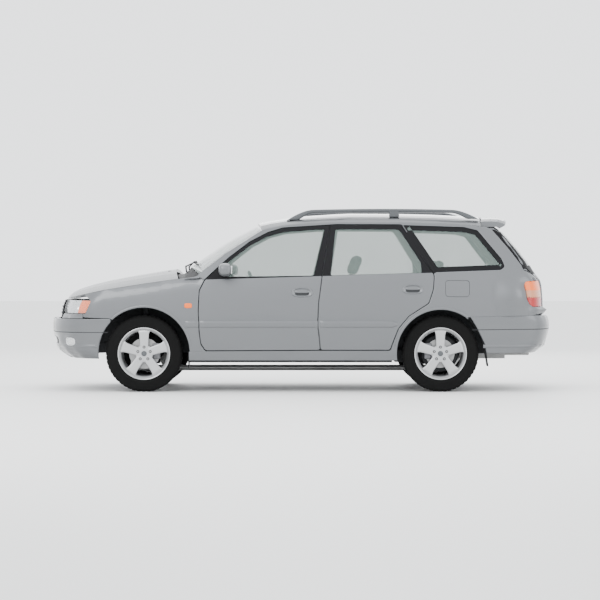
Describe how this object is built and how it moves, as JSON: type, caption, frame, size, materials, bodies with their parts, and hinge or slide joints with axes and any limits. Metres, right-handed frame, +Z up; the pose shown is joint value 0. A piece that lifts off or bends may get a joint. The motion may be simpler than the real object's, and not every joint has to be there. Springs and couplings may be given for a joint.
{
  "type": "station wagon",
  "caption": "Station wagon with a hollow cabin and load space, opening doors, bonnet and tailgate, steered front wheels and roof rails.",
  "frame": {"origin": "centre of the bounding box at ground level, under the middle of the car", "axes": "-X is the front of the car, -Y is the car's left side, +Z is up"},
  "size_m": [4.4469, 1.999, 1.614],
  "materials": {
    "body_paint": "metallic",
    "window_glass": "clear",
    "black_trim": "satin",
    "grey_plastic": "satin",
    "tyre_rubber": "matte",
    "wheel_alloy": "satin",
    "headlight_lens": "clear",
    "tail_light_lens": "gloss",
    "seat_fabric": "woven",
    "underbody": "satin",
    "bare_steel": "satin",
    "cast_metal": "matte"
  },
  "bodies": {
    "root": {"floor_pan": "underbody", "engine_bay": "underbody", "body_side_left": "body_paint", "body_side_right": "body_paint", "roof_panel": "body_paint", "front_fenders": "body_paint", "front_bumper": "body_paint", "grille_panel": "grey_plastic", "rear_bumper": "body_paint", "windscreen": "window_glass", "cowl_panel": "black_trim", "quarter_windows": "window_glass", "headlights": "headlight_lens", "tail_lights": "tail_light_lens", "roof_rails": "grey_plastic", "mud_flaps": "black_trim", "wipers": "black_trim", "dashboard": "grey_plastic", "front_seats": "seat_fabric", "rear_seat": "seat_fabric", "engine_block": "cast_metal", "front_suspension": "underbody", "exhaust": "bare_steel", "fuel_tank": "black_trim", "rear_axle": "underbody"},
    "bonnet": {"bonnet": "body_paint"},
    "tailgate": {"tailgate": "body_paint", "tailgate_glass": "window_glass", "rear_spoiler": "body_paint", "rear_wiper": "black_trim"},
    "front_door_left": {"front_door_left": "body_paint", "front_door_glass_left": "window_glass", "door_mirror_left": "body_paint"},
    "front_door_right": {"front_door_right": "body_paint", "front_door_glass_right": "window_glass", "door_mirror_right": "body_paint"},
    "rear_door_left": {"rear_door_left": "body_paint", "rear_door_glass_left": "window_glass"},
    "rear_door_right": {"rear_door_right": "body_paint", "rear_door_glass_right": "window_glass"},
    "fuel_flap": {"fuel_flap": "body_paint"},
    "knuckle_left": {"knuckle_left": "cast_metal"},
    "knuckle_right": {"knuckle_right": "cast_metal"},
    "steering_wheel": {"steering_wheel": "black_trim"},
    "wheel_front_left": {"wheel_front_left": "wheel_alloy", "tyre_front_left": "tyre_rubber"},
    "wheel_front_right": {"wheel_front_right": "wheel_alloy", "tyre_front_right": "tyre_rubber"},
    "wheel_rear_left": {"wheel_rear_left": "wheel_alloy", "tyre_rear_left": "tyre_rubber"},
    "wheel_rear_right": {"wheel_rear_right": "wheel_alloy", "tyre_rear_right": "tyre_rubber"}
  },
  "joints": [
    {"name": "steer_left", "type": "hinge", "parent": "root", "child": "knuckle_left", "pos_m": [-1.368, -0.692, 0.336], "axis": [0, 0, 1], "range_deg": [-35, 35]},
    {"name": "steer_right", "type": "hinge", "parent": "root", "child": "knuckle_right", "pos_m": [-1.368, 0.692, 0.336], "axis": [0, 0, 1], "range_deg": [-35, 35]},
    {"name": "steering_column", "type": "hinge", "parent": "root", "child": "steering_wheel", "pos_m": [-0.4, 0.37, 0.89], "axis": [0.9063, 0, 0.4226], "range_deg": [-525, 525]},
    {"name": "front_left_wheel", "type": "hinge", "parent": "knuckle_left", "child": "wheel_front_left", "pos_m": [-1.368, -0.712, 0.336], "axis": [0, 1, 0], "continuous": true},
    {"name": "front_right_wheel", "type": "hinge", "parent": "knuckle_right", "child": "wheel_front_right", "pos_m": [-1.368, 0.712, 0.336], "axis": [0, 1, 0], "continuous": true},
    {"name": "rear_left_wheel", "type": "hinge", "parent": "root", "child": "wheel_rear_left", "pos_m": [1.232, -0.712, 0.336], "axis": [0, 1, 0], "continuous": true},
    {"name": "rear_right_wheel", "type": "hinge", "parent": "root", "child": "wheel_rear_right", "pos_m": [1.232, 0.712, 0.336], "axis": [0, 1, 0], "continuous": true},
    {"name": "front_left_door", "type": "hinge", "parent": "root", "child": "front_door_left", "pos_m": [-0.816, -0.852, 0.7], "axis": [0, 0, -1], "range_deg": [0, 65]},
    {"name": "front_right_door", "type": "hinge", "parent": "root", "child": "front_door_right", "pos_m": [-0.816, 0.852, 0.7], "axis": [0, 0, 1], "range_deg": [0, 65]},
    {"name": "rear_left_door", "type": "hinge", "parent": "root", "child": "rear_door_left", "pos_m": [0.229, -0.852, 0.7], "axis": [0, 0, -1], "range_deg": [0, 65]},
    {"name": "rear_right_door", "type": "hinge", "parent": "root", "child": "rear_door_right", "pos_m": [0.229, 0.852, 0.7], "axis": [0, 0, 1], "range_deg": [0, 65]},
    {"name": "bonnet_lid", "type": "hinge", "parent": "root", "child": "bonnet", "pos_m": [-1.062, 0, 1], "axis": [0, 1, 0], "range_deg": [0, 48]},
    {"name": "tailgate_lid", "type": "hinge", "parent": "root", "child": "tailgate", "pos_m": [1.622, 0, 1.545], "axis": [0, -1, 0], "range_deg": [0, 80]},
    {"name": "fuel_filler_flap", "type": "hinge", "parent": "root", "child": "fuel_flap", "pos_m": [1.28, -0.851, 0.906], "axis": [0, 0, -1], "range_deg": [0, 80]}
  ],
  "couplings": [
    {"joint": "steer_right", "follows": "steer_left", "ratio": 1},
    {"joint": "steering_column", "follows": "steer_left", "ratio": 15}
  ]
}
